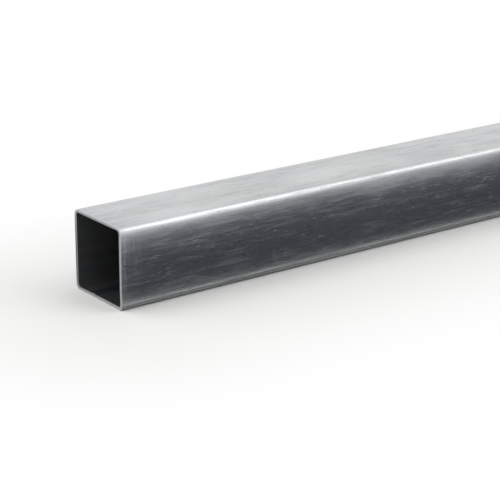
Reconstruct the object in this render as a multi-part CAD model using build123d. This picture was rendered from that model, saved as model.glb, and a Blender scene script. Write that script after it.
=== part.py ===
from build123d import *
import os

# A straight length of square steel tube, lying on the floor along Y.
# It was rolled from one strip, welded along one wall and sawn to length, so it is one piece.
# The origin is on the floor, under the middle of the tube. The welded wall is the one on the floor.

# Section, in millimetres
side = 50.0  # across the flats, the same both ways
wall = 2.0  # thickness of the strip
outer_corner_radius = 4.0  # outside of a rolled corner
length = 1000.0  # one metre, as cut lengths are sold

# Weld bead, which stays inside the tube and is planed flush outside
bead_width = 2.4  # across its foot
bead_height = 0.6  # from the wall to its crown
seam_offset = -6.0  # from the middle of its wall, since a seam seldom runs exactly there

# Edges broken at both sawn ends
outer_edge_break = 0.3
inner_edge_break = 0.2

# The strip keeps its thickness round a bend, so the inside of a corner follows from the outside
inner_corner_radius = outer_corner_radius - wall
bore = side - 2 * wall


def across(height):
    """The plane across the tube, upright, with its middle at this height above the floor."""
    return Plane(origin=(0, 0, height), x_dir=(1, 0, 0), z_dir=(0, -1, 0))


def along(outline, run):
    """A section of the tube run out to half its length each way from the middle."""
    return extrude(outline, run / 2, both=True)


def rolled_walls():
    """The four walls and their rolled corners, sawn square."""
    outside = RectangleRounded(side, side, outer_corner_radius)
    inside = RectangleRounded(bore, bore, inner_corner_radius)
    return along(across(side / 2) * (outside - inside), length)


def sawn_ends(tube):
    """The two flat faces that the saw left."""
    by_place = tube.faces().sort_by(Axis.Y)
    return [by_place[0], by_place[-1]]


def break_edges(tube):
    """Take the sharp edge off both ends, outside and round the bore."""
    outer_edges = [edge for end in sawn_ends(tube) for edge in end.outer_wire().edges()]
    tube = chamfer(outer_edges, outer_edge_break)
    inner_edges = [edge for end in sawn_ends(tube) for edge in end.inner_wires()[0].edges()]
    return chamfer(inner_edges, inner_edge_break)


def weld_bead():
    """The low crown of weld metal on the wall that lies on the floor."""
    left_toe = (seam_offset - bead_width / 2, 0)
    right_toe = (seam_offset + bead_width / 2, 0)
    crown = (seam_offset, bead_height)
    outline = make_face([ThreePointArc(left_toe, crown, right_toe), Line(right_toe, left_toe)])
    return along(across(wall) * outline, length - 2 * inner_edge_break)


os.makedirs("parts", exist_ok=True)
square_tube = break_edges(rolled_walls()) + weld_bead()
export_step(square_tube, "parts/square_tube.step")
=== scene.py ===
from math import pi, radians

import bpy
from mathutils import Matrix, Vector


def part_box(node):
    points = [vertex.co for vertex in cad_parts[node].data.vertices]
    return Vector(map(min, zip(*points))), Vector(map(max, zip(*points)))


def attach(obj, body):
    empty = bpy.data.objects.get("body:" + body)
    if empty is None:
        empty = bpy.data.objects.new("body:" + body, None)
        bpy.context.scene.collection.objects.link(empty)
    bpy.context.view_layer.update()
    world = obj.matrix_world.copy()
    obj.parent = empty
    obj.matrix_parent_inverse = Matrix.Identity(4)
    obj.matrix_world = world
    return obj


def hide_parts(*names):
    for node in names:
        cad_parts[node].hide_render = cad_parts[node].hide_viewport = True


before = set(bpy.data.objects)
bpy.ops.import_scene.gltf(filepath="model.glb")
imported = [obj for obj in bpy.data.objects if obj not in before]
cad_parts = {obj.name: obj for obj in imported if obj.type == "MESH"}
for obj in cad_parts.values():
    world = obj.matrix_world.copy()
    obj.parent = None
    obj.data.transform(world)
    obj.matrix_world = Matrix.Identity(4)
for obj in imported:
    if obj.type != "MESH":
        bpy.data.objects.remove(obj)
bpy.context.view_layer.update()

tubeLow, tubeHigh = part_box("square_tube")
tubeSide = tubeHigh.x - tubeLow.x
tubeLength = tubeHigh.y - tubeLow.y
mm = 0.001
white = (1, 1, 1, 1)

scene = bpy.context.scene
scene.view_settings.view_transform = "Standard"


def linear(hexColour):
    # An sRGB hex value, turned to the linear colour that a shader takes
    parts = [int(hexColour[i:i + 2], 16) / 255 for i in (1, 3, 5)]
    return [p / 12.92 if p <= 0.04045 else ((p + 0.055) / 1.055) ** 2.4 for p in parts] + [1.0]


def addNode(tree, kind, feeds=None, **settings):
    # feeds says what goes into each socket, by the socket's name or number: a value, one output of a node,
    # or a node, which stands for its first output that is in use
    node = tree.nodes.new(kind)
    for name, value in settings.items():
        setattr(node, name, value)
    for name, feed in (feeds or {}).items():
        if isinstance(name, int):
            socket = node.inputs[name]
        else:
            socket = next(each for each in node.inputs if each.enabled and each.name == name)
        if isinstance(feed, bpy.types.Node):
            feed = next(each for each in feed.outputs if each.enabled)
        if isinstance(feed, bpy.types.NodeSocket):
            tree.links.new(feed, socket)
        else:
            socket.default_value = feed
    return node


def newMaterial(name):
    # An empty material, its tree, and the place on the object, which its patterns follow
    material = bpy.data.materials.new(name)
    material.use_nodes = True
    tree = material.node_tree
    tree.nodes.clear()
    return material, tree, addNode(tree, "ShaderNodeTexCoord").outputs["Object"]


# The tube: one strip of steel, rolled square and welded along the bottom, then sawn to length

tube = {
    "Wall": 2.0 * mm,  # thickness of the strip
    "Corner Radius": 4.0 * mm,  # outside of a rolled corner
    "Seam Offset": -6.0 * mm,  # where the weld runs on the bottom wall, from its middle
    "Bead Width": 2.4 * mm,  # the weld metal that stands inside the bore
    "Bead Height": 0.6 * mm,
    "Bead Lowest": 0.6,  # shares of that height between which it rises and falls
    "Bead Highest": 1.1,
    "Bead Lump": 18.0 * mm,  # how long one rise of it is
    "Outer Break": 0.3 * mm,  # edge taken off outside the sawn end
    "Inner Break": 0.2 * mm,  # and round the bore
    "Dish": 0.08 * mm,  # how far a rolled flat sinks between its corners
    "Wave": 0.06 * mm,  # how far the rolls let the walls wander along the length
    "Wave Length": 90.0 * mm,
    "Saw Ripple": 0.08 * mm,  # how uneven the saw left the ends
    "Ripple Length": 6.0 * mm,
    "Sawn Reach": 0.6 * mm,  # how far from an end counts as sawn: the end face and its broken edges
    "Crease Angle": radians(25),  # edges sharper than this stay sharp
    "Seam Crowding": 0.3,  # how close the cuts of the bottom flat are at the weld, against even ones
    "Corner Steps": 8,  # facets round each corner
    "Flat Cuts": 20,  # cuts across a flat
    "Seam Cuts": 44,  # and across the bottom one
    "Outer Rings": 240,  # cuts along the tube, outside
    "Inner Rings": 200,  # and in the bore
    "End Cuts": 3,  # cuts through the wall, at an end
    "Seed": 7,
}

socketKinds = {float: "NodeSocketFloat", int: "NodeSocketInt", bpy.types.Material: "NodeSocketMaterial"}


def rolledTubeTree(values):
    tree = bpy.data.node_groups.new("rolledSquareTube", "GeometryNodeTree")
    tree.is_modifier = True
    for name, value in values.items():
        tree.interface.new_socket(name=name, in_out="INPUT", socket_type=socketKinds[type(value)])
    tree.interface.new_socket(name="Tube", in_out="OUTPUT", socket_type="NodeSocketGeometry")
    given = addNode(tree, "NodeGroupInput").outputs
    position = addNode(tree, "GeometryNodeInputPosition")
    place = addNode(tree, "ShaderNodeSeparateXYZ", {0: position}).outputs
    index = addNode(tree, "GeometryNodeInputIndex")
    slack = 0.01 * mm  # for comparing places

    # The middle of the strip, followed round the section: a square with rounded corners
    middleSide = addNode(tree, "ShaderNodeMath", {0: given["Side"], 1: given["Wall"]}, operation="SUBTRACT")
    middleRadius = addNode(tree, "ShaderNodeMath", {0: given["Wall"], 1: -0.5, 2: given["Corner Radius"]},
                           operation="MULTIPLY_ADD")
    square = addNode(tree, "GeometryNodeCurvePrimitiveQuadrilateral",
                     {"Width": middleSide, "Height": middleSide})
    rounded = addNode(tree, "GeometryNodeFilletCurve",
                      {"Curve": square, "Count": given["Corner Steps"], "Radius": middleRadius}, mode="POLY")

    # Each flat follows the last point of a corner. It is cut there, the bottom one more often.
    cornerPoints = addNode(tree, "ShaderNodeMath", {0: given["Corner Steps"], 1: 1.0})
    placeInCorner = addNode(tree, "ShaderNodeMath", {0: index, 1: cornerPoints}, operation="MODULO")
    startsFlat = addNode(tree, "ShaderNodeMath", {0: placeInCorner, 1: given["Corner Steps"], 2: 0.5},
                         operation="COMPARE")
    bottomLine = addNode(tree, "ShaderNodeMath", {0: middleSide, 1: -0.5}, operation="MULTIPLY")
    onBottom = addNode(tree, "ShaderNodeMath", {0: place["Y"], 1: bottomLine, 2: slack},
                       operation="COMPARE")
    cutsHere = addNode(tree, "ShaderNodeMix",
                       {"Factor": onBottom, "A": given["Flat Cuts"], "B": given["Seam Cuts"]})
    cutsAfter = addNode(tree, "ShaderNodeMath", {0: cutsHere, 1: startsFlat}, operation="MULTIPLY")
    cutRail = addNode(tree, "GeometryNodeSubdivideCurve", {"Curve": rounded, "Cuts": cutsAfter})

    # The cuts of the bottom flat draw together at the weld, by a cubic curve that keeps its two ends
    half = addNode(tree, "ShaderNodeMath", {0: given["Side"], 1: 0.5}, operation="MULTIPLY")
    flatHalf = addNode(tree, "ShaderNodeMath", {0: half, 1: given["Corner Radius"]}, operation="SUBTRACT")
    fromSeam = addNode(tree, "ShaderNodeMath", {0: place["X"], 1: given["Seam Offset"]},
                       operation="SUBTRACT")
    whichSide = addNode(tree, "ShaderNodeMath", {0: fromSeam}, operation="SIGN")
    seamThatWay = addNode(tree, "ShaderNodeMath", {0: given["Seam Offset"], 1: whichSide},
                          operation="MULTIPLY")
    room = addNode(tree, "ShaderNodeMath", {0: flatHalf, 1: seamThatWay}, operation="SUBTRACT")
    share = addNode(tree, "ShaderNodeMath", {0: fromSeam, 1: room}, operation="DIVIDE")
    shareSquared = addNode(tree, "ShaderNodeMath", {0: share, 1: share}, operation="MULTIPLY")
    closeness = addNode(tree, "ShaderNodeMapRange",
                        {"Value": shareSquared, "To Min": given["Seam Crowding"], "To Max": 1.0})
    drawnIn = addNode(tree, "ShaderNodeMath", {0: fromSeam, 1: closeness, 2: given["Seam Offset"]},
                      operation="MULTIPLY_ADD")
    drawnPlace = addNode(tree, "ShaderNodeCombineXYZ", {"X": drawnIn, "Y": place["Y"]})
    seamRail = addNode(tree, "GeometryNodeSetPosition",
                       {"Geometry": cutRail, "Selection": onBottom, "Position": drawnPlace})
    rail = addNode(tree, "GeometryNodeSetCurveNormal", {"Curve": seamRail}, mode="Z_UP")

    # The wall cut along the tube: as thick as the strip, as long as the tube, its four corners broken.
    # Its +X side becomes the outside of the tube.
    longSection = addNode(tree, "GeometryNodeCurvePrimitiveQuadrilateral",
                          {"Width": given["Wall"], "Height": given["Length"]})
    isOuter = addNode(tree, "ShaderNodeMath", {0: place["X"], 1: 0.0}, operation="GREATER_THAN")
    edgeBreak = addNode(tree, "ShaderNodeMix",
                        {"Factor": isOuter, "A": given["Inner Break"], "B": given["Outer Break"]})
    broken = addNode(tree, "GeometryNodeFilletCurve",
                     {"Curve": longSection, "Count": 1, "Radius": edgeBreak}, mode="POLY")
    # Its points run chamfer, end, chamfer, inside, chamfer, end, chamfer, outside
    sideCuts = (None, "End Cuts", None, "Inner Rings", None, "End Cuts", None, "Outer Rings")
    cutsBySide = addNode(tree, "GeometryNodeIndexSwitch", data_type="INT")
    while len(cutsBySide.index_switch_items) < len(sideCuts):
        cutsBySide.index_switch_items.new()
    tree.links.new(index.outputs[0], cutsBySide.inputs["Index"])
    for number, cuts in enumerate(sideCuts, 1):
        if cuts:
            tree.links.new(given[cuts], cutsBySide.inputs[number])
    profile = addNode(tree, "GeometryNodeSubdivideCurve", {"Curve": broken, "Cuts": cutsBySide})
    walls = addNode(tree, "GeometryNodeCurveToMesh", {"Curve": rail, "Profile Curve": profile})

    # Which way is out: away from the square that the corners turn about
    turnHalf = addNode(tree, "ShaderNodeCombineXYZ", {"X": flatHalf, "Y": flatHalf})
    turnLow = addNode(tree, "ShaderNodeVectorMath", {0: turnHalf, 1: (-1.0, -1.0, 0.0)},
                      operation="MULTIPLY")
    sectionPlace = addNode(tree, "ShaderNodeCombineXYZ", {"X": place["X"], "Y": place["Y"]})
    nearTurn = addNode(tree, "ShaderNodeVectorMath", {0: sectionPlace, 1: turnLow}, operation="MAXIMUM")
    nearTurn = addNode(tree, "ShaderNodeVectorMath", {0: nearTurn, 1: turnHalf}, operation="MINIMUM")
    away = addNode(tree, "ShaderNodeVectorMath", {0: sectionPlace, 1: nearTurn}, operation="SUBTRACT")
    outward = addNode(tree, "ShaderNodeVectorMath", {0: away}, operation="NORMALIZE")

    # Each unevenness is as long as its input says
    noiseScales = {}
    for name in ("Bead Lump", "Wave Length", "Ripple Length"):
        noiseScales[name] = addNode(tree, "ShaderNodeMath", {0: 1.0, 1: given[name]}, operation="DIVIDE")

    # The weld bead: a low crown on the inside of the bottom wall, uneven along its length. It is a parabola,
    # one at its middle and nought where it is as wide as the bead.
    boreLine = addNode(tree, "ShaderNodeMath", {0: given["Side"], 1: -0.5, 2: given["Wall"]},
                       operation="MULTIPLY_ADD")
    onBoreFloor = addNode(tree, "ShaderNodeMath", {0: place["Y"], 1: boreLine, 2: slack},
                          operation="COMPARE")
    beadShare = addNode(tree, "ShaderNodeMath", {0: fromSeam, 1: given["Bead Width"]}, operation="DIVIDE")
    beadShare = addNode(tree, "ShaderNodeMath", {0: beadShare, 1: beadShare}, operation="MULTIPLY")
    crown = addNode(tree, "ShaderNodeMath", {0: beadShare, 1: -4.0, 2: 1.0}, operation="MULTIPLY_ADD",
                    use_clamp=True)
    beadNoise = addNode(tree, "ShaderNodeTexNoise",
                        {"Vector": position, "Scale": noiseScales["Bead Lump"]})
    beadRise = addNode(tree, "ShaderNodeMapRange", {"Value": beadNoise, "To Min": given["Bead Lowest"],
                                                    "To Max": given["Bead Highest"]})
    for factor in (crown, given["Bead Height"], onBoreFloor):
        beadRise = addNode(tree, "ShaderNodeMath", {0: beadRise, 1: factor}, operation="MULTIPLY")
    beadOffset = addNode(tree, "ShaderNodeCombineXYZ", {"Y": beadRise})

    # The flats sink between the corners, and all of it wanders a little, always inwards
    across = addNode(tree, "ShaderNodeVectorMath", {0: position}, operation="ABSOLUTE")
    acrossParts = addNode(tree, "ShaderNodeSeparateXYZ", {0: across}).outputs
    alongFlat = addNode(tree, "ShaderNodeMath", {0: acrossParts["X"], 1: acrossParts["Y"]},
                        operation="MINIMUM")
    flatShare = addNode(tree, "ShaderNodeMath", {0: alongFlat, 1: flatHalf}, operation="DIVIDE")
    flatShare = addNode(tree, "ShaderNodeMath", {0: flatShare, 1: flatShare}, operation="MULTIPLY")
    sag = addNode(tree, "ShaderNodeMath", {0: 1.0, 1: flatShare}, operation="SUBTRACT", use_clamp=True)
    dish = addNode(tree, "ShaderNodeMath", {0: sag, 1: given["Dish"]}, operation="MULTIPLY")
    waveNoise = addNode(tree, "ShaderNodeTexNoise",
                        {"Vector": position, "W": given["Seed"], "Scale": noiseScales["Wave Length"],
                         "Detail": 1.0}, noise_dimensions="4D")
    inward = addNode(tree, "ShaderNodeMath", {0: waveNoise, 1: given["Wave"], 2: dish},
                     operation="MULTIPLY_ADD")
    inward = addNode(tree, "ShaderNodeMath", {0: inward, 1: -1.0}, operation="MULTIPLY")
    wallOffset = addNode(tree, "ShaderNodeVectorMath", {0: outward, "Scale": inward}, operation="SCALE")

    # The saw leaves each end a little short of flat
    lengthHalf = addNode(tree, "ShaderNodeMath", {0: given["Length"], 1: 0.5}, operation="MULTIPLY")
    sawnFrom = addNode(tree, "ShaderNodeMath", {0: lengthHalf, 1: given["Sawn Reach"]},
                       operation="SUBTRACT")
    atEnd = addNode(tree, "ShaderNodeMath", {0: acrossParts["Z"], 1: sawnFrom}, operation="GREATER_THAN")
    sawNoise = addNode(tree, "ShaderNodeTexNoise",
                       {"Vector": position, "W": given["Seed"], "Scale": noiseScales["Ripple Length"],
                        "Detail": 1.0}, noise_dimensions="4D")
    whichEnd = addNode(tree, "ShaderNodeMath", {0: place["Z"]}, operation="SIGN")
    sawBack = addNode(tree, "ShaderNodeMath", {0: sawNoise, 1: -1.0}, operation="MULTIPLY")
    for factor in (given["Saw Ripple"], atEnd, whichEnd):
        sawBack = addNode(tree, "ShaderNodeMath", {0: sawBack, 1: factor}, operation="MULTIPLY")
    sawOffset = addNode(tree, "ShaderNodeCombineXYZ", {"Z": sawBack})

    shift = addNode(tree, "ShaderNodeVectorMath", {0: beadOffset, 1: wallOffset})
    shift = addNode(tree, "ShaderNodeVectorMath", {0: shift, 1: sawOffset})
    shaped = addNode(tree, "GeometryNodeSetPosition", {"Geometry": walls, "Offset": shift})

    # Which faces are in the bore and which at the ends, kept for the finishes. The end faces point neither
    # in nor out, so what points inwards by more than a little is in the bore.
    normal = addNode(tree, "GeometryNodeInputNormal")
    facing = addNode(tree, "ShaderNodeVectorMath", {0: normal, 1: outward}, operation="DOT_PRODUCT")
    inBore = addNode(tree, "ShaderNodeMath", {0: facing, 1: -0.2}, operation="LESS_THAN")
    marked = addNode(tree, "GeometryNodeCaptureAttribute", {"Geometry": shaped}, domain="FACE")
    for name, mark in (("In Bore", inBore), ("At End", atEnd)):
        marked.capture_items.new("BOOLEAN", name)
        tree.links.new(mark.outputs[0], marked.inputs[name])

    # Laid down along Y, with the bottom on the floor
    lift = addNode(tree, "ShaderNodeCombineXYZ", {"Z": half})
    laid = addNode(tree, "GeometryNodeTransform",
                   {"Geometry": marked, "Translation": lift, "Rotation": (radians(90), 0, 0)})
    smooth = addNode(tree, "GeometryNodeSetShadeSmooth", {"Geometry": laid})
    edgeAngle = addNode(tree, "GeometryNodeInputMeshEdgeAngle")
    isSharp = addNode(tree, "ShaderNodeMath", {0: edgeAngle, 1: given["Crease Angle"]},
                      operation="GREATER_THAN")
    creased = addNode(tree, "GeometryNodeSetShadeSmooth",
                      {"Geometry": smooth, "Selection": isSharp, "Shade Smooth": False}, domain="EDGE")

    # Three finishes: the rolled skin, the same skin left as rolled in the bore, and the sawn ends
    finished = addNode(tree, "GeometryNodeRealizeInstances", {"Geometry": creased})
    for finish, faces in (("Skin", True), ("Bore Skin", marked.outputs["In Bore"]),
                          ("Sawn Face", marked.outputs["At End"])):
        finished = addNode(tree, "GeometryNodeSetMaterial",
                           {"Geometry": finished, "Selection": faces, "Material": given[finish]})
    addNode(tree, "NodeGroupOutput", {"Tube": finished})
    return tree


def rollTube(name, finishes):
    # Runs the tree once and keeps its result as a plain mesh
    values = {"Side": tubeSide, "Length": tubeLength, **tube, **finishes}
    tree = rolledTubeTree(values)
    holder = bpy.data.objects.new(name, bpy.data.meshes.new(name + "Seed"))
    scene.collection.objects.link(holder)
    modifier = holder.modifiers.new("roll", "NODES")
    modifier.node_group = tree
    for item in tree.interface.items_tree:
        if item.in_out == "INPUT":
            modifier[item.identifier] = values[item.name]
    evaluated = holder.evaluated_get(bpy.context.evaluated_depsgraph_get())
    mesh = bpy.data.meshes.new_from_object(evaluated)
    mesh.name = name
    holder.modifiers.remove(modifier)
    holder.data = mesh
    return holder


# Finishes of the steel. Each grain's size is the real one, first across the tube, then along it.

skinLook = {
    "light": "#CFD1D3",  # bright rolled steel
    "dull": "#ACAEB0",  # where the rolls rubbed it less
    "brightBase": 0.5,  # how far from dull to light it is where every grain is at its middle
    "brightness": {"patch": 2.1, "cloud": 0.6, "streak": 1.0, "fleck": 0.6, "line": 0.5},  # what each adds
    "warm": "#CBC8C4",  # faint tints, from patch to patch
    "cool": "#BFC4C7",
    "tintShare": 0.35,  # how much of those two is in the colour
    "roughness": 0.285,  # where it is cleanest. Below 0.28 the render's denoising leaves marks.
    "dullRoughness": 0.64,  # where it is cloudiest
    "dullBase": 0.10,  # how far from clean to cloudy it is where every grain is at its middle
    "dullness": {"cloud": -0.7, "streak": -1.3, "fleck": -1.1, "patch": -1.0},  # what each adds
    "lineSheen": 0.5,  # the fine lines blur a reflection more across the tube than along it
    "grains": {
        "patch": {"size": (30 * mm, 80 * mm), "detail": 2.0, "seed": 1.21},
        "tint": {"size": (30 * mm, 80 * mm), "detail": 3.0, "seed": 0.71},
        "cloud": {"size": (9 * mm, 24 * mm), "detail": 3.0, "seed": 0.31},
        "streak": {"size": (1.4 * mm, 45 * mm), "detail": 3.0, "seed": 0.57},
        # The rolls' fine lines, drawn about five times as coarse so that they show
        "line": {"size": (0.5 * mm, 60 * mm), "detail": 2.0, "seed": 0.83},
        "fleck": {"size": (2.2 * mm, 18 * mm), "detail": 2.0, "seed": 1.93},
        "speck": {"size": (1.1 * mm, 5 * mm), "detail": 1.0, "seed": 1.13},
        "scuff": {"size": (0.7 * mm, 7 * mm), "detail": 1.0, "seed": 1.47, "slant": 4},
        "brushMark": {"size": (20 * mm, 1.6 * mm), "detail": 2.0, "seed": 1.71},
        "swell": {"size": (16 * mm, 34 * mm), "detail": 1.0, "seed": 2.17},
        "wave": {"size": (9 * mm, 24 * mm), "detail": 3.0, "seed": 0.93},
    },
    # Grains that show as spots: from where, from where in full, and how much they then count
    "spots": {"speck": (0.62, 0.80, 0.45), "scuff": (0.64, 0.72, 0.18), "brushMark": (0.35, 0.70, 0.12)},
    "speckColour": "#7F8285",
    # Depth of the walls' slow unevenness, of the quicker one on it, and of the fine lines
    "relief": {"swell": 0.22 * mm, "wave": 0.10 * mm, "line": 0.004 * mm},
    "brushedEnd": 6 * mm,  # how far the skin is dulled from a sawn end, where the burr was brushed off
    "brushedRoughness": 0.09,  # what that adds at the end
    "brushReach": 26 * mm,  # how far from the end the marks of the brush thin out
    "stripe": 4.5 * mm,  # width of the planed stripe over the weld, outside
    "stripeColour": "#DADBDC",
    "stripeShare": 0.8,
    "stripeRoughness": 0.12,
    "heatTint": 9 * mm,  # width of the darker band that welding leaves on both sides of the wall
    "heatColour": "#8E949E",
    "heatShare": 0.4,
}


def grain(tree, place, size, detail, seed=0.0, slant=0.0):
    # Noise drawn out along the tube to this size
    across, along = size
    laid = addNode(tree, "ShaderNodeMapping",
                   {"Vector": place, "Location": (seed, seed, 0), "Rotation": (0, 0, radians(slant)),
                    "Scale": (across, along, across)}, vector_type="TEXTURE")
    return addNode(tree, "ShaderNodeTexNoise", {"Vector": laid, "Scale": 1.0, "Detail": detail})


def weighGrains(tree, grains, weights, base):
    # The base plus so much of each grain, counted from its middle
    total = base
    for name, weight in weights.items():
        swing = addNode(tree, "ShaderNodeMath", {0: grains[name], 1: 0.5}, operation="SUBTRACT")
        total = addNode(tree, "ShaderNodeMath", {0: swing, 1: weight, 2: total}, operation="MULTIPLY_ADD")
    return total


def nearSeam(tree, parts, width, share):
    # This share in the middle of the weld's band on the bottom wall, falling to nought at its edges
    fromSeam = addNode(tree, "ShaderNodeMath", {0: parts["X"], 1: tube["Seam Offset"]},
                       operation="SUBTRACT")
    fromSeam = addNode(tree, "ShaderNodeMath", {0: fromSeam}, operation="ABSOLUTE")
    band = addNode(tree, "ShaderNodeMapRange",
                   {"Value": fromSeam, "From Min": width * 0.5, "From Max": width * 0.35, "To Max": share},
                   interpolation_type="SMOOTHSTEP")
    low = addNode(tree, "ShaderNodeMath", {0: parts["Z"], 1: tube["Wall"] * 2}, operation="LESS_THAN")
    return addNode(tree, "ShaderNodeMath", {0: band, 1: low}, operation="MULTIPLY")


def coldRolledSkin():
    # Cold-rolled low-carbon steel, drawn through forming rolls: a bright, satin skin whose fine lines
    # run along the tube, clouded and streaked where the rolls rubbed it less, dull at the brushed ends
    material, tree, onTube = newMaterial("coldRolledSteelSkin")
    parts = addNode(tree, "ShaderNodeSeparateXYZ", {0: onTube}).outputs
    grains = {name: grain(tree, onTube, **look) for name, look in skinLook["grains"].items()}
    spots = {}
    for name, (start, full, most) in skinLook["spots"].items():
        spots[name] = addNode(tree, "ShaderNodeMapRange",
                              {"Value": grains[name], "From Min": start, "From Max": full, "To Max": most})

    # Bright where it is clean, faintly warm and cool, tinted at the weld, and specked
    bright = weighGrains(tree, grains, skinLook["brightness"], skinLook["brightBase"])
    bright = addNode(tree, "ShaderNodeMath", {0: bright, 1: 0.0}, use_clamp=True)
    steel = addNode(tree, "ShaderNodeMix", {"Factor": bright, "A": linear(skinLook["dull"]),
                                            "B": linear(skinLook["light"])}, data_type="RGBA")
    tint = addNode(tree, "ShaderNodeMix", {"Factor": grains["tint"], "A": linear(skinLook["warm"]),
                                           "B": linear(skinLook["cool"])}, data_type="RGBA")
    colour = addNode(tree, "ShaderNodeMix", {"Factor": skinLook["tintShare"], "A": steel, "B": tint},
                     data_type="RGBA")
    heated = nearSeam(tree, parts, skinLook["heatTint"], skinLook["heatShare"])
    planed = nearSeam(tree, parts, skinLook["stripe"], skinLook["stripeShare"])
    for share, name in ((heated, "heatColour"), (planed, "stripeColour"), (spots["speck"], "speckColour")):
        colour = addNode(tree, "ShaderNodeMix", {"Factor": share, "A": colour, "B": linear(skinLook[name])},
                         data_type="RGBA")

    # Dull places scatter more. So do the scuffs, the brushed ends and the planed stripe over the weld.
    dullness = weighGrains(tree, grains, skinLook["dullness"], skinLook["dullBase"])
    roughness = addNode(tree, "ShaderNodeMapRange",
                        {"Value": dullness, "To Min": skinLook["roughness"],
                         "To Max": skinLook["dullRoughness"]})
    fromMiddle = addNode(tree, "ShaderNodeMath", {0: parts["Y"]}, operation="ABSOLUTE")
    brushed = addNode(tree, "ShaderNodeMapRange",
                      {"Value": fromMiddle, "From Min": tubeLength / 2 - skinLook["brushedEnd"],
                       "From Max": tubeLength / 2, "To Max": skinLook["brushedRoughness"]},
                      interpolation_type="SMOOTHSTEP")
    markReach = addNode(tree, "ShaderNodeMapRange",
                        {"Value": fromMiddle, "From Min": tubeLength / 2 - skinLook["brushReach"],
                         "From Max": tubeLength / 2})
    brushMarks = addNode(tree, "ShaderNodeMath", {0: spots["brushMark"], 1: markReach},
                         operation="MULTIPLY")
    stripe = nearSeam(tree, parts, skinLook["stripe"], skinLook["stripeRoughness"])
    for more in (spots["scuff"], brushed, brushMarks, stripe):
        roughness = addNode(tree, "ShaderNodeMath", {0: roughness, 1: more})

    relief = {}
    for name, depth in skinLook["relief"].items():
        relief = {"Normal": addNode(tree, "ShaderNodeBump",
                                    {"Height": grains[name], "Distance": depth, **relief})}
    alongTube = addNode(tree, "ShaderNodeTangent", direction_type="RADIAL", axis="Y")
    metal = addNode(tree, "ShaderNodeBsdfPrincipled",
                    {"Base Color": colour, "Metallic": 1.0, "Roughness": roughness,
                     "Anisotropic": skinLook["lineSheen"], "Tangent": alongTube, **relief})
    addNode(tree, "ShaderNodeOutputMaterial", {"Surface": metal})
    return material


boreLook = {
    "dark": "#8A8C8F",
    "light": "#A8AAAC",
    "bloom": {"size": (4 * mm, 60 * mm), "detail": 4.0},  # grey patches, drawn out along the tube
    "heatColour": "#565E6B",  # beside the weld, as wide as the heat tint outside
    "heatShare": 0.6,
    "roughness": 0.42,
}


def boreSkin():
    # The inside of the same strip: never touched by the rolls, so duller, with a grey bloom, and darkened
    # and faintly blue beside the weld
    material, tree, onTube = newMaterial("asRolledBoreSkin")
    parts = addNode(tree, "ShaderNodeSeparateXYZ", {0: onTube}).outputs
    bloom = grain(tree, onTube, **boreLook["bloom"])
    colour = addNode(tree, "ShaderNodeMix", {"Factor": bloom, "A": linear(boreLook["dark"]),
                                             "B": linear(boreLook["light"])}, data_type="RGBA")
    heated = nearSeam(tree, parts, skinLook["heatTint"], boreLook["heatShare"])
    colour = addNode(tree, "ShaderNodeMix", {"Factor": heated, "A": colour,
                                             "B": linear(boreLook["heatColour"])}, data_type="RGBA")
    metal = addNode(tree, "ShaderNodeBsdfPrincipled",
                    {"Base Color": colour, "Metallic": 1.0, "Roughness": boreLook["roughness"]})
    addNode(tree, "ShaderNodeOutputMaterial", {"Surface": metal})
    return material


sawnLook = {
    "dark": "#999A9C",
    "light": "#C4C5C6",
    "toothMark": (40 * mm, 40 * mm, 0.5 * mm),  # long across the end, and this fine from one to the next
    "toothSlant": 14,  # degrees
    "toothDepth": 0.02 * mm,
    "edgeHighlightColour": "#CDCECF",  # painted highlight along the outer edge, for the glint of its broken edge
    "edgeFrom": 1.3 * mm,  # how far in from the outside the edge starts to brighten
    "edgeFull": 0.4 * mm,  # and where it is brightest
    "roughness": 0.45,
}


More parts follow.
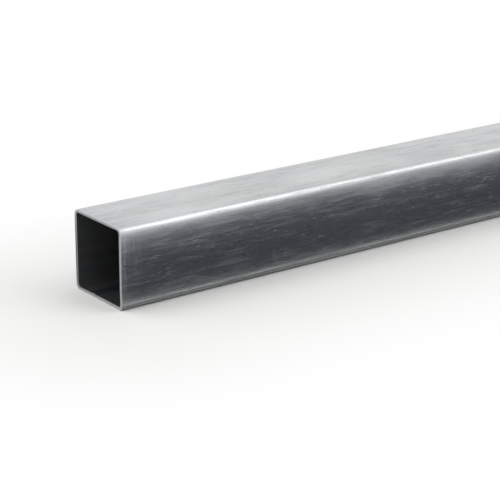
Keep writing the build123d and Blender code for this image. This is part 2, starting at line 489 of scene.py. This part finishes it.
def sawnFace():
    # Bare steel cut across by a band saw: a coarse matt grey crossed by fine parallel tooth marks, with a
    # painted highlight along the outer edge that stands for the glint of its broken edge
    material, tree, onTube = newMaterial("bandSawnSteel")
    toothPlace = addNode(tree, "ShaderNodeMapping",
                         {"Vector": onTube, "Rotation": (0, radians(sawnLook["toothSlant"]), 0),
                          "Scale": sawnLook["toothMark"]}, vector_type="TEXTURE")
    teeth = addNode(tree, "ShaderNodeTexNoise", {"Vector": toothPlace, "Scale": 1.0, "Detail": 2.0})
    colour = addNode(tree, "ShaderNodeMix", {"Factor": teeth, "A": linear(sawnLook["dark"]),
                                             "B": linear(sawnLook["light"])}, data_type="RGBA")

    # How far a place is past the square that the corners turn about, which is their radius at the outside
    flatHalf = tubeSide / 2 - tube["Corner Radius"]
    past = addNode(tree, "ShaderNodeVectorMath", {0: onTube, 1: (0, 0, tubeSide / 2)},
                   operation="SUBTRACT")
    past = addNode(tree, "ShaderNodeVectorMath", {0: past}, operation="ABSOLUTE")
    past = addNode(tree, "ShaderNodeVectorMath", {0: past, 1: (flatHalf, tubeLength, flatHalf)},
                   operation="SUBTRACT")
    past = addNode(tree, "ShaderNodeVectorMath", {0: past, 1: (0, 0, 0)}, operation="MAXIMUM")
    outwardness = addNode(tree, "ShaderNodeVectorMath", {0: past}, operation="LENGTH")
    # Painted highlight: the colour turns lighter towards the outer edge, in place of the glint that the
    # broken edge catches
    paintedEdgeHighlight = addNode(tree, "ShaderNodeMapRange",
                       {"Value": outwardness, "From Min": tube["Corner Radius"] - sawnLook["edgeFrom"],
                        "From Max": tube["Corner Radius"] - sawnLook["edgeFull"]},
                       interpolation_type="SMOOTHSTEP")
    colour = addNode(tree, "ShaderNodeMix", {"Factor": paintedEdgeHighlight, "A": colour,
                                             "B": linear(sawnLook["edgeHighlightColour"])}, data_type="RGBA")
    relief = addNode(tree, "ShaderNodeBump", {"Height": teeth, "Distance": sawnLook["toothDepth"]})
    metal = addNode(tree, "ShaderNodeBsdfPrincipled",
                    {"Base Color": colour, "Metallic": 1.0, "Roughness": sawnLook["roughness"],
                     "Normal": relief})
    addNode(tree, "ShaderNodeOutputMaterial", {"Surface": metal})
    return material


squareTube = rollTube("squareSteelTube", {"Skin": coldRolledSkin(), "Bore Skin": boreSkin(),
                                          "Sawn Face": sawnFace()})
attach(squareTube, "root")
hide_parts("square_tube")
print("tube rolled:", len(squareTube.data.polygons), "faces")


# The studio: pale paper, a white surround, a glowing card along each side of the tube that the steel mirrors
# as painted shade and a painted highlight, and three softboxes

studio = {
    "floorColour": "#F8F8F6",
    "floorSize": 16.0,  # metres each way
    "whiteFrom": 10 * mm,  # how far from the tube the paper starts to fade into the white surround
    "whiteTo": 160 * mm,  # and where it is all white
    "surroundLight": 0.25,  # what the surround gives to matt surfaces
    "cardShadowStrip": 2.5 * mm,  # width of the card's dark strip on the floor along the tube: a painted contact shadow that the steel's foot mirrors
    "cardFoot": 9 * mm,  # from the tube's side to the foot of the card that leans away from it
    "cardTop": 20 * mm,  # and to its top
    "cardHeight": 42 * mm,
    "cardGap": 0.2 * mm,  # what keeps the card off the floor and the tube
    "cardLow": "#43474D",  # painted shade that the steel mirrors of it: at its foot,
    "cardMiddle": "#5E636A",  # below its light top edge
    "cardPaintedHighlight": "#C6CACE",  # and a painted highlight in that edge
    "cardDark": 36 * mm,  # height over which it goes from the first to the second
    "cardCurve": 3.0,  # the higher, the later it does
    "cardHighlightEdge": (35 * mm, 38 * mm),  # where the painted highlight edge starts, and where it is in full
    "cardDrift": 14 * mm,  # how much that wanders along the card, at most
    "cardDriftLength": 75 * mm,
    "cardFade": 60 * mm,  # how far past the tube's ends it fades out
}

softboxes = {
    "rightSoftbox": {"size": (1.3, 1.3), "place": (0.95, 0.66, 1.25), "radiance": 1.0, "inSteel": True},
    "frontSoftbox": {"size": (4.0, 2.8), "place": (-0.90, -2.10, 1.70), "radiance": 1.3, "inSteel": False},
    "topSoftbox": {"size": (2.4, 2.4), "place": (0.0, -0.3, 2.0), "radiance": 1.0, "inSteel": False},
}
softboxAim = (0.0, -0.3, 0.04)


def seesWhite(tree):
    # One for the rays that see a white background: from the camera, off metal and through glass
    ray = addNode(tree, "ShaderNodeLightPath").outputs
    seen = addNode(tree, "ShaderNodeMath", {0: ray["Is Camera Ray"], 1: ray["Is Glossy Ray"]},
                   use_clamp=True)
    return addNode(tree, "ShaderNodeMath", {0: seen, 1: ray["Is Transmission Ray"]}, use_clamp=True)


def paperFloor():
    # Matt white background paper, which takes a soft shadow and fades into the white surround
    material, tree, onFloor = newMaterial("mattPaperFloor")
    away = addNode(tree, "ShaderNodeVectorMath", {0: onFloor}, operation="ABSOLUTE")
    away = addNode(tree, "ShaderNodeVectorMath", {0: away, 1: (tubeSide / 2, tubeLength / 2, 0)},
                   operation="SUBTRACT")
    away = addNode(tree, "ShaderNodeVectorMath", {0: away, 1: (0, 0, 0)}, operation="MAXIMUM")
    distance = addNode(tree, "ShaderNodeVectorMath", {0: away}, operation="LENGTH")
    fade = addNode(tree, "ShaderNodeMapRange",
                   {"Value": distance, "From Min": studio["whiteFrom"], "From Max": studio["whiteTo"]},
                   interpolation_type="SMOOTHSTEP")
    share = addNode(tree, "ShaderNodeMath", {0: fade, 1: seesWhite(tree)}, operation="MULTIPLY")
    paper = addNode(tree, "ShaderNodeBsdfDiffuse", {"Color": linear(studio["floorColour"])})
    glow = addNode(tree, "ShaderNodeEmission", {"Color": white, "Strength": 1.0})
    blend = addNode(tree, "ShaderNodeMixShader", {0: share, 1: paper, 2: glow})
    addNode(tree, "ShaderNodeOutputMaterial", {"Surface": blend})
    return material


def addSheets(name, points, faces, material):
    # Flat sheets without thickness, as one object
    mesh = bpy.data.meshes.new(name)
    mesh.from_pydata(points, [], faces)
    mesh.materials.append(material)
    sheets = bpy.data.objects.new(name, mesh)
    scene.collection.objects.link(sheets)
    return sheets


def layFloor():
    half = studio["floorSize"] / 2
    points = [(-half, -half, 0), (half, -half, 0), (half, half, 0), (-half, half, 0)]
    floor = addSheets("paperFloor", points, [(0, 1, 2, 3)], paperFloor())


def paintedShadeCard():
    # A glowing card that no lamp lights: painted shade, darker towards its foot, with a painted highlight
    # along its top edge, that fades out past the tube's ends
    material, tree, onCard = newMaterial("glowingShadeCard")
    parts = addNode(tree, "ShaderNodeSeparateXYZ", {0: onCard}).outputs
    drift = addNode(tree, "ShaderNodeTexNoise",
                    {"Vector": onCard, "Scale": 1 / studio["cardDriftLength"], "Detail": 2.0})
    drift = addNode(tree, "ShaderNodeMath", {0: drift, 1: 0.5}, operation="SUBTRACT")
    height = addNode(tree, "ShaderNodeMath", {0: drift, 1: studio["cardDrift"], 2: parts["Z"]},
                     operation="MULTIPLY_ADD")
    rise = addNode(tree, "ShaderNodeMapRange", {"Value": height, "From Max": studio["cardDark"]})
    rise = addNode(tree, "ShaderNodeMath", {0: rise, 1: studio["cardCurve"]}, operation="POWER")
    edgeFrom, edgeFull = studio["cardHighlightEdge"]
    inEdge = addNode(tree, "ShaderNodeMapRange",
                     {"Value": height, "From Min": edgeFrom, "From Max": edgeFull},
                     interpolation_type="SMOOTHSTEP")
    # Painted shade from the foot up and a painted highlight in the top edge, given off as a glow though the
    # card is no lamp
    grade = addNode(tree, "ShaderNodeMix", {"Factor": rise, "A": linear(studio["cardLow"]),
                                            "B": linear(studio["cardMiddle"])}, data_type="RGBA")
    grade = addNode(tree, "ShaderNodeMix", {"Factor": inEdge, "A": grade,
                                            "B": linear(studio["cardPaintedHighlight"])}, data_type="RGBA")
    glow = addNode(tree, "ShaderNodeEmission", {"Color": grade, "Strength": 1.0})
    fromMiddle = addNode(tree, "ShaderNodeMath", {0: parts["Y"]}, operation="ABSOLUTE")
    fade = addNode(tree, "ShaderNodeMapRange",
                   {"Value": fromMiddle, "From Min": tubeLength / 2,
                    "From Max": tubeLength / 2 + studio["cardFade"]}, interpolation_type="SMOOTHSTEP")
    clear = addNode(tree, "ShaderNodeBsdfTransparent")
    blend = addNode(tree, "ShaderNodeMixShader", {0: fade, 1: glow, 2: clear})
    addNode(tree, "ShaderNodeOutputMaterial", {"Surface": blend})
    return material


def leanShadeCards():
    # A card along each side, seen only in the steel and glowing with painted shade, so that the steel's
    # sides mirror shade and come out darker than its top.
    # Each is a board that leans away from the tube, and a strip of painted contact shadow on the floor for
    # the dark line at its foot.
    material = paintedShadeCard()
    gap, high = studio["cardGap"], studio["cardHeight"]
    front, back = tubeLow.y - studio["cardFade"], tubeHigh.y + studio["cardFade"]
    for name, way in (("rightShadeCard", 1), ("leftShadeCard", -1)):
        stripNear, stripFar, foot, top = [way * (tubeSide / 2 + reach) for reach in (
            gap, studio["cardShadowStrip"], studio["cardFoot"], studio["cardTop"])]
        # The second sheet is the strip of painted contact shadow that lies on the floor
        points = [(foot, front, gap), (foot, back, gap), (top, back, high), (top, front, high),
                  (stripNear, front, gap), (stripNear, back, gap), (stripFar, back, gap),
                  (stripFar, front, gap)]
        board = addSheets(name, points, [(0, 1, 2, 3), (4, 5, 6, 7)], material)
        board.visible_camera = False
        board.visible_diffuse = False
        board.visible_shadow = False


def lightWorld():
    # White to the camera and in reflections, and a weak fill light on matt surfaces
    world = bpy.data.worlds.new("whiteSurround")
    world.use_nodes = True
    tree = world.node_tree
    tree.nodes.clear()
    strength = addNode(tree, "ShaderNodeMapRange",
                       {"Value": seesWhite(tree), "To Min": studio["surroundLight"], "To Max": 1.0})
    surround = addNode(tree, "ShaderNodeBackground", {"Color": white, "Strength": strength})
    addNode(tree, "ShaderNodeOutputWorld", {"Surface": surround})
    world.cycles.sampling_method = "NONE"  # so that the cards hide it from the steel
    scene.world = world


def hangSoftboxes():
    for name, box in softboxes.items():
        light = bpy.data.lights.new(name, "AREA")
        light.shape = "RECTANGLE"
        light.size, light.size_y = box["size"]
        light.energy = box["radiance"] * light.size * light.size_y * pi
        softbox = bpy.data.objects.new(name, light)
        softbox.location = box["place"]
        ray = Vector(softboxAim) - Vector(box["place"])
        softbox.rotation_euler = ray.to_track_quat("-Z", "Y").to_euler()
        softbox.visible_camera = False
        softbox.visible_glossy = box["inSteel"]  # the others only light the floor
        scene.collection.objects.link(softbox)


layFloor()
leanShadeCards()
lightWorld()
hangSoftboxes()
print("studio lit")


# The camera, where the photo was taken from: the mouth near the left edge, the tube running off to the right

lens = {
    "place": (0.7894, -0.9834, 0.3426),
    "turn": 53.06,  # degrees to the left of the tube's length
    "down": 18.68,
    "roll": 0.21,
    "focalLength": 121.3,
    "sensorWidth": 36.0,
}


def placeCamera():
    # Turned from looking straight down, in the order turn, tilt, roll
    camera = bpy.data.objects.new("camera", bpy.data.cameras.new("camera"))
    camera.data.lens = lens["focalLength"]
    camera.data.sensor_width = lens["sensorWidth"]
    camera.location = lens["place"]
    turn = Matrix.Rotation(radians(lens["turn"]), 3, "Z")
    tilt = Matrix.Rotation(radians(90 - lens["down"]), 3, "X")
    roll = Matrix.Rotation(radians(lens["roll"]), 3, "Z")
    camera.rotation_euler = (turn @ tilt @ roll).to_euler()
    scene.collection.objects.link(camera)
    scene.camera = camera


placeCamera()
